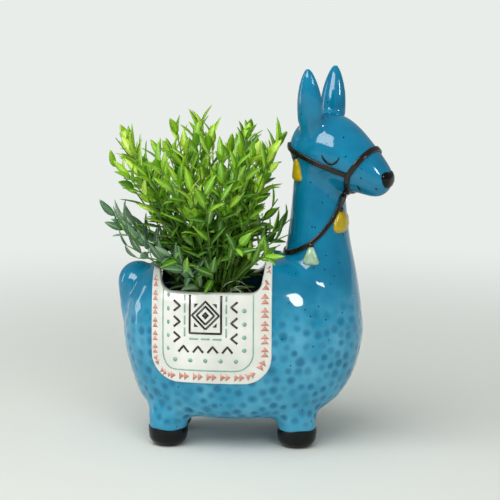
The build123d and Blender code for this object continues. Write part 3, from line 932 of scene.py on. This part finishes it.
# artificial bush: arching stems of pointed leaves set in dark moss, clear of the neck when it lifts out
bushShape = {
    "tiers": [                            # stems, lean at the root, lean at the tip (degrees), length (mm)
        (20, (1, 10), (4, 20), (84, 103)),
        (36, (11, 26), (24, 44), (94, 115)),
        (28, (28, 50), (60, 88), (58, 82)),
    ],
    "rootSpread": 9, "rootDepth": 4,      # mm
    "leafLength": (12.5, 18.5), "leafWidth": (3.7, 5.3), "leafPitch": 4.8, "bareShare": 0.12,
    "stemRadius": 0.75,
    "tries": 12, "retry": (0.86, 0.985),  # a stem without room stands up and shortens by these shares
    "tierTurn": 0.4, "turnSpread": 0.35, "sideShorter": 0.16,
    "neckRoom": 24, "besideNeck": 30,     # mm, how far forward the leaves go behind and beside the neck
    "neckHalf": 27, "sideReach": 62, "top": 204, "skinRoom": (7, 1.0),
    "rearReach": 93, "rearLevel": 131, "rearSlope": 0.42,   # mm to the rear, drawn in above the level
    "tailRoom": (50, 103),                # mm to the rear and up, a slope kept clear over the tail
    "rearward": (0.0, 0.45, 0.35),        # how far each tier crowds to the rear
    "coolShare": 0.85,                    # bluish leaves among the low ones at the rear
    "foamVoxel": 1.1, "foamPits": 0.5, "foamGrain": 5,
    "mossRise": 4.5, "mossRough": 1.1, "mossGrain": 5, "mossEdge": 0.5, "mossRings": 24, "mossTurns": 96,
    "strands": 320, "strandLength": (7, 15), "strandRadius": 0.32,
    "tendrils": 40, "tendrilLength": (24, 44), "tendrilRadius": 0.45,
    "curlRoots": ((-12, 1), (-19, -9)),   # mm forward and to the left
    "curlTurn": (-1.4, 0.5), "curlLean": (-20, 30), "curlBend": (110, 300),   # radians, then degrees
    "mouthSquare": 2.5, "mouthShare": 0.95,   # how square the mouth is, and how much of it is used
    "curlRoom": (-11, -8, 110),           # mm, leaves stay out of the mouth's near front corner
}


def waves(points, size):                  # smooth uneven field, about -1 to 1, features of a size in mm
    total = np.zeros(len(points))
    for k in range(7):
        way = chance.normal(size=3)
        way *= math.tau / (size * mm * chance.uniform(0.7, 1.5)) / np.linalg.norm(way)
        total += np.sin(points @ way + chance.uniform(0, math.tau))
    return total / 3


def makeFoam():
    mesh = remeshed(meshOf("foamPlug", *nodeShell("foam_block")), bushShape["foamVoxel"], 3)
    points, normals = arraysOf(mesh)
    pits = np.abs(waves(points, bushShape["foamGrain"])) * bushShape["foamPits"] * mm
    setPoints(mesh, points - normals * pits[:, None])
    addPiece("foamPlug", mesh, foamDark, "plant", "floral_foam", "foam_block")


def makeMoss():
    shape = bushShape
    low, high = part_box("foam_block")
    middle, half = (low + high) / 2, (high - low) / 2
    rings, turns, square, points = shape["mossRings"], shape["mossTurns"], shape["mouthSquare"], []
    for ring in range(rings + 1):
        share = 1 - ring / rings
        for k in range(turns):
            a = math.tau * k / turns
            reach = (abs(math.cos(a)) ** square + abs(math.sin(a)) ** square) ** (-1 / square)
            reach *= max(share, 0.01)
            points.append((middle.x + (half.x - shape["mossEdge"] * mm) * reach * math.cos(a),
                           middle.y + (half.y - shape["mossEdge"] * mm) * reach * math.sin(a),
                           high.z + shape["mossRise"] * mm * (1 - share ** 4)))
    points = np.array(points)
    points[:, 2] += waves(points * (1, 1, 0), shape["mossGrain"]) * shape["mossRough"] * mm
    points[:turns, 2] = high.z - 1.5 * mm
    faces = ringFaces(rings + 1, turns)
    shells = [(points, faces)]
    ground = surfaceOf(meshOf("mossGround", points, faces))
    for _ in range(shape["strands"]):
        turn, away = chance.uniform(0, math.tau), math.sqrt(chance.uniform(0.02, 0.8))
        spot = Vector((middle.x + half.x * away * math.cos(turn),
                       middle.y + half.y * away * math.sin(turn), high.z))
        hit = ground.ray_cast(spot + Vector((0, 0, 0.05)), Vector((0, 0, -1)))[0]
        lean = chance.uniform(45, 80)
        path = stemPath(hit - Vector((0, 0, 1 * mm)), chance.uniform(0, math.tau), lean,
                        lean + chance.uniform(20, 90), chance.uniform(*shape["strandLength"]), 7)
        if all(inMouth(place) for place, along in path):
            shells.append(stemShell(path, shape["strandRadius"], 4))
    addPiece("mossBed", meshOf("mossBed", *joined(shells)), peatMoss, "plant", "floral_foam")
    print("  moss strands:", len(shells) - 1)


def inMouth(point):                       # inside the mouth as the plant lifts, with room to the lip
    low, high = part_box("foam_block")
    middle, half = (low + high) / 2, (high - low) / 2
    square = bushShape["mouthSquare"]
    across = (abs(point.x - middle.x) / half.x) ** square + (abs(point.y - middle.y) / half.y) ** square
    return across < bushShape["mouthShare"]


def makeTendrils():
    shape, shells = bushShape, []
    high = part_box("foam_block")[1]
    for _ in range(shape["tendrils"]):
        turn = chance.uniform(*shape["curlTurn"])
        x, y = (chance.uniform(*span) * mm for span in shape["curlRoots"])
        root = Vector((x, y, high.z + 1 * mm))
        lean = chance.uniform(*shape["curlLean"])
        path = stemPath(root, turn, lean, lean + chance.uniform(*shape["curlBend"]),
                        chance.uniform(*shape["tendrilLength"]), 28)
        if all(roomFor(place) and inMouth(place) for place, along in path):
            shells.append(stemShell(path, shape["tendrilRadius"], 5))
    addPiece("bushTendrils", meshOf("bushTendrils", *joined(shells)), tendrilPlastic, "plant", "stem_plastic")
    print("  tendrils:", len(shells))


def stemPath(root, turn, leanIn, leanOut, length, steps=24):
    path, place = [], Vector(root)
    for k in range(steps + 1):
        lean = math.radians(leanIn + (leanOut - leanIn) * k / steps)
        along = Vector((math.sin(lean) * math.cos(turn), math.sin(lean) * math.sin(turn), math.cos(lean)))
        path.append((place.copy(), along))
        place += along * (length * mm / steps)
    return path


def roomFor(point):
    limit = bushShape["neckRoom"] if abs(point.y) < bushShape["neckHalf"] * mm else bushShape["besideNeck"]
    if point.x > limit * mm or abs(point.y) > bushShape["sideReach"] * mm:
        return False
    rise = max(0.0, point.z - bushShape["rearLevel"] * mm)
    rear = rise * bushShape["rearSlope"] - bushShape["rearReach"] * mm
    if point.x < rear or point.z > bushShape["top"] * mm:
        return False
    behind = -bushShape["tailRoom"][0] * mm - point.x
    if behind > 0 and point.z < bushShape["tailRoom"][1] * mm + behind:
        return False
    look, gap = bushShape["skinRoom"]
    spot, normal = skinSurface.find_nearest(point, look * mm)[:2]
    return spot is None or (point - spot).dot(normal) > gap * mm


def amongCurls(point):                    # the near front corner of the mouth, where the curls show
    fromX, toY, toZ = bushShape["curlRoom"]
    return point.x > fromX * mm and point.y < toY * mm and point.z < toZ * mm


leafShape = {
    "droop": (0.08, 0.26), "fold": (0.15, 0.4),     # shares of the length and of the half width
    "stations": (0.14, 0.32, 0.52, 0.72, 0.88),     # along the leaf
    "belly": (0.82, 0.85),                          # powers that set the widest place and the fullness
    "rib": 0.3,                                     # mm that the midrib stands out below
    "open": (36, 58), "closing": 0.55,              # degrees from the stem, and what the tip loses of it
    "spin": 2.4, "tipShrink": 0.12,                 # radians from leaf to leaf
    # painted shade: leaves near the bush's middle are darker and outer ones lighter, added to the random tone
    "tone": (0.12, 0.56, 95),                       # at the root, added at the tip, and mm from root to tip
    "stemTone": (-0.12, 0.12), "leafTone": (-0.24, 0.28),
}


def leafShell(base, along, up, length, width):
    beside = along.cross(up).normalized()
    face = beside.cross(along).normalized()
    droop, fold = chance.uniform(*leafShape["droop"]), chance.uniform(*leafShape["fold"])
    points, across, faces = [base], [0.0], []
    stations, (widest, fullness) = leafShape["stations"], leafShape["belly"]
    for share in stations:
        half = width / 2 * math.sin(math.pi * share ** widest) ** fullness
        spine = base + along * (length * share) - face * (droop * length * share * share)
        lift = face * (half * fold)
        points += [spine - beside * half + lift, spine, spine + beside * half + lift,
                   spine - face * leafShape["rib"] * mm]
        across += [1.0, 0.0, 1.0, 0.3]
    points.append(base + along * length - face * droop * length)
    across.append(0.0)
    tip = len(points) - 1
    for k in range(len(stations) - 1):
        a, b = 1 + 4 * k, 5 + 4 * k
        faces += [(a, a + 1, b + 1, b), (a + 1, a + 2, b + 2, b + 1)]
        faces += [(a + 2, a + 3, b + 3, b + 2), (a + 3, a, b, b + 3)]
    a = tip - 4
    for j in range(4):
        faces += [(0, 1 + (j + 1) % 4, 1 + j), (a + j, a + (j + 1) % 4, tip)]
    return points, faces, across


def growStem(root, turn, leanIn, leanOut, length):
    path = stemPath(root, turn, leanIn, leanOut, length)
    for _ in range(bushShape["tries"]):
        if all(roomFor(place) for place, along in path[6:]):
            break
        upright, shorter = bushShape["retry"]
        leanIn, leanOut, length = leanIn * upright, leanOut * upright, length * shorter
        path = stemPath(root, turn, leanIn, leanOut, length)
    return path, length


def makeBush():
    foamLow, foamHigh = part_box("foam_block")
    centre = Vector(((foamLow.x + foamHigh.x) / 2, 0, foamHigh.z))
    stems, leaves, tone, across, cool = [], [], [], [], []
    for tier, (count, leanIn, leanOut, lengths) in enumerate(bushShape["tiers"]):
        for k in range(count):
            aside = chance.uniform(-bushShape["turnSpread"], bushShape["turnSpread"])
            turn = math.tau * (k + aside) / count + tier * bushShape["tierTurn"]
            turn += bushShape["rearward"][tier] * math.sin(turn)
            spread = bushShape["rootSpread"] * math.sqrt(chance.uniform(0.02, 1)) * mm
            root = centre + Vector((spread * math.cos(turn), spread * math.sin(turn),
                                    -bushShape["rootDepth"] * mm))
            shorter = bushShape["sideShorter"] * abs(math.sin(turn)) * (tier > 0)
            reach = chance.uniform(*lengths) * (1 - shorter)
            path, length = growStem(root, turn, chance.uniform(*leanIn), chance.uniform(*leanOut), reach)
            stems.append(stemShell(path, bushShape["stemRadius"]))
            spin = chance.uniform(0, math.tau)
            start = bushShape["bareShare"] * length
            number = int((length - start) / bushShape["leafPitch"])
            stemTone = chance.uniform(*leafShape["stemTone"])
            for j in range(number + 2):
                share = min(1.0, (start + (length - start) * j / number) / length)
                place, along = path[min(len(path) - 1, round(share * (len(path) - 1)))]
                spin += leafShape["spin"]
                beside = along.orthogonal().normalized()
                outward = beside * math.cos(spin) + along.cross(beside) * math.sin(spin)
                opened = chance.uniform(*leafShape["open"]) * (1 - leafShape["closing"] * share ** 3)
                opened = math.radians(opened)
                direction = (along * math.cos(opened) + outward * math.sin(opened)).normalized()
                size = chance.uniform(*bushShape["leafLength"]) * (1 - leafShape["tipShrink"] * share) * mm
                wide = chance.uniform(*bushShape["leafWidth"]) * mm
                shell, faces, rib = leafShell(place, direction, along, size, wide)
                tested = [shell[m] for m in (5, 9, 13, len(shell) - 1)]
                if not all(roomFor(point) and not amongCurls(point) for point in tested):
                    continue
                leaves.append((np.array(shell), faces))
                # painted shade: the tone darkens towards the bush's middle and lightens outwards, on top of
                # each stem's and leaf's random tone
                inner, added, span = leafShape["tone"]
                outer = min(1, ((place - centre).length / mm) / span)
                value = inner + added * outer + stemTone + chance.uniform(*leafShape["leafTone"])
                tone += [value] * len(shell)
                rearLow = tier == 2 and math.cos(turn) < 0
                bluish = rearLow and chance.uniform() < bushShape["coolShare"]
                cool += [1.0 if bluish else 0.0] * len(shell)
                across += rib
    print("  stems:", len(stems), "leaves:", len(leaves))
    addPiece("bushStems", meshOf("bushStems", *joined(stems)), stemPlastic, "plant", "stem_plastic", "trunk")
    mesh = meshOf("bushLeaves", *joined(leaves))
    for name, values in (("tone", tone), ("across", across), ("cool", cool)):
        paint(mesh, name, values)
    addPiece("bushLeaves", mesh, leafGreen, "plant", "leaf_plastic",
             "sprays_upright", "sprays_middle", "sprays_low")


makeFoam()
makeMoss()
makeBush()
makeTendrils()
print("bush grown")


# stage: a pale floor that fades to a plain background, soft boxes that light and panes that glint
stageLook = {
    "floor": "#dfe2dc", "background": "#e9edea",
    "fade": (0.16, 0.7), "floorReach": 9,   # metres from the object's middle
    "aim": (0, 0, 0.1),                   # what the boxes face
    "world": 0.4,
    # place in metres, size, watts, and whether the glaze mirrors the box or is only lit by it
    "boxes": {"overhead": ((-0.35, -0.5, 1.1), (1.3, 1.1), 13.0, False),
              "window": ((-1.3, -0.3, 0.5), (0.4, 0.8), 2.0, False),
              "front": ((0.5, -1.2, 0.8), (0.7, 0.7), 5.0, False),
              "windowPane": ((-0.74, -0.80, 0.80), (0.75, 0.62), 14.0, True),
              "chestPane": ((0.62, -1.0, 0.76), (0.2, 0.36), 6.0, True),
              "sidePane": ((-1.3, 0.22, 0.24), (0.16, 0.9), 2.4, True)},
}


def floorMaterial():
    material, tree, shader = newMaterial(
        "paleFloor", {"Roughness": 0.6, "Base Color": linear(stageLook["floor"])})
    place = addNode(tree, "TexCoord").outputs["Object"]
    length = addNode(tree, "VectorMath", {"operation": "LENGTH"}, {0: place})
    near, far = stageLook["fade"]
    fade = addNode(tree, "MapRange",
                   {"interpolation_type": "SMOOTHSTEP", "From Min": near, "From Max": far},
                   {"Value": length.outputs["Value"]})
    path = addNode(tree, "LightPath")
    seen = addNode(tree, "Math", {"operation": "MAXIMUM"},
                   {0: path.outputs["Is Camera Ray"], 1: path.outputs["Is Glossy Ray"]})
    share = addNode(tree, "Math", {"operation": "MULTIPLY"},
                    {0: fade.outputs[0], 1: seen.outputs[0]})
    glow = addNode(tree, "Emission", {"Color": linear(stageLook["background"])})
    mixed = addNode(tree, "MixShader",
                    links={0: share.outputs[0], 1: shader.outputs[0], 2: glow.outputs[0]})
    tree.links.new(mixed.outputs[0], tree.nodes["Material Output"].inputs["Surface"])
    return material


def makeStage():
    reach = stageLook["floorReach"]
    corners = [(-reach, -reach, 0), (reach, -reach, 0), (reach, reach, 0), (-reach, reach, 0)]
    floor = bpy.data.objects.new("floor", meshOf("floor", corners, [(0, 1, 2, 3)]))
    floor.data.materials.append(floorMaterial())
    scene.collection.objects.link(floor)
    for name, (place, size, power, mirrored) in stageLook["boxes"].items():
        light = bpy.data.lights.new(name, "AREA")
        light.shape = "RECTANGLE"
        light.size, light.size_y = size
        light.energy = power
        box = bpy.data.objects.new(name, light)
        box.visible_glossy, box.visible_diffuse = mirrored, not mirrored
        box.location = place
        box.rotation_euler = (Vector(stageLook["aim"]) - Vector(place)).to_track_quat("-Z", "Y").to_euler()
        scene.collection.objects.link(box)
    world = bpy.data.worlds.new("studio")
    scene.world = world
    world.use_nodes = True
    tree = world.node_tree
    path = addNode(tree, "LightPath")
    power = addNode(tree, "MapRange", {"To Min": stageLook["world"], "To Max": 1.0},
                    {"Value": path.outputs["Is Camera Ray"]})
    back = tree.nodes["Background"]
    back.inputs["Color"].default_value = linear(stageLook["background"])
    tree.links.new(power.outputs[0], back.inputs["Strength"])


makeStage()
print("stage set")
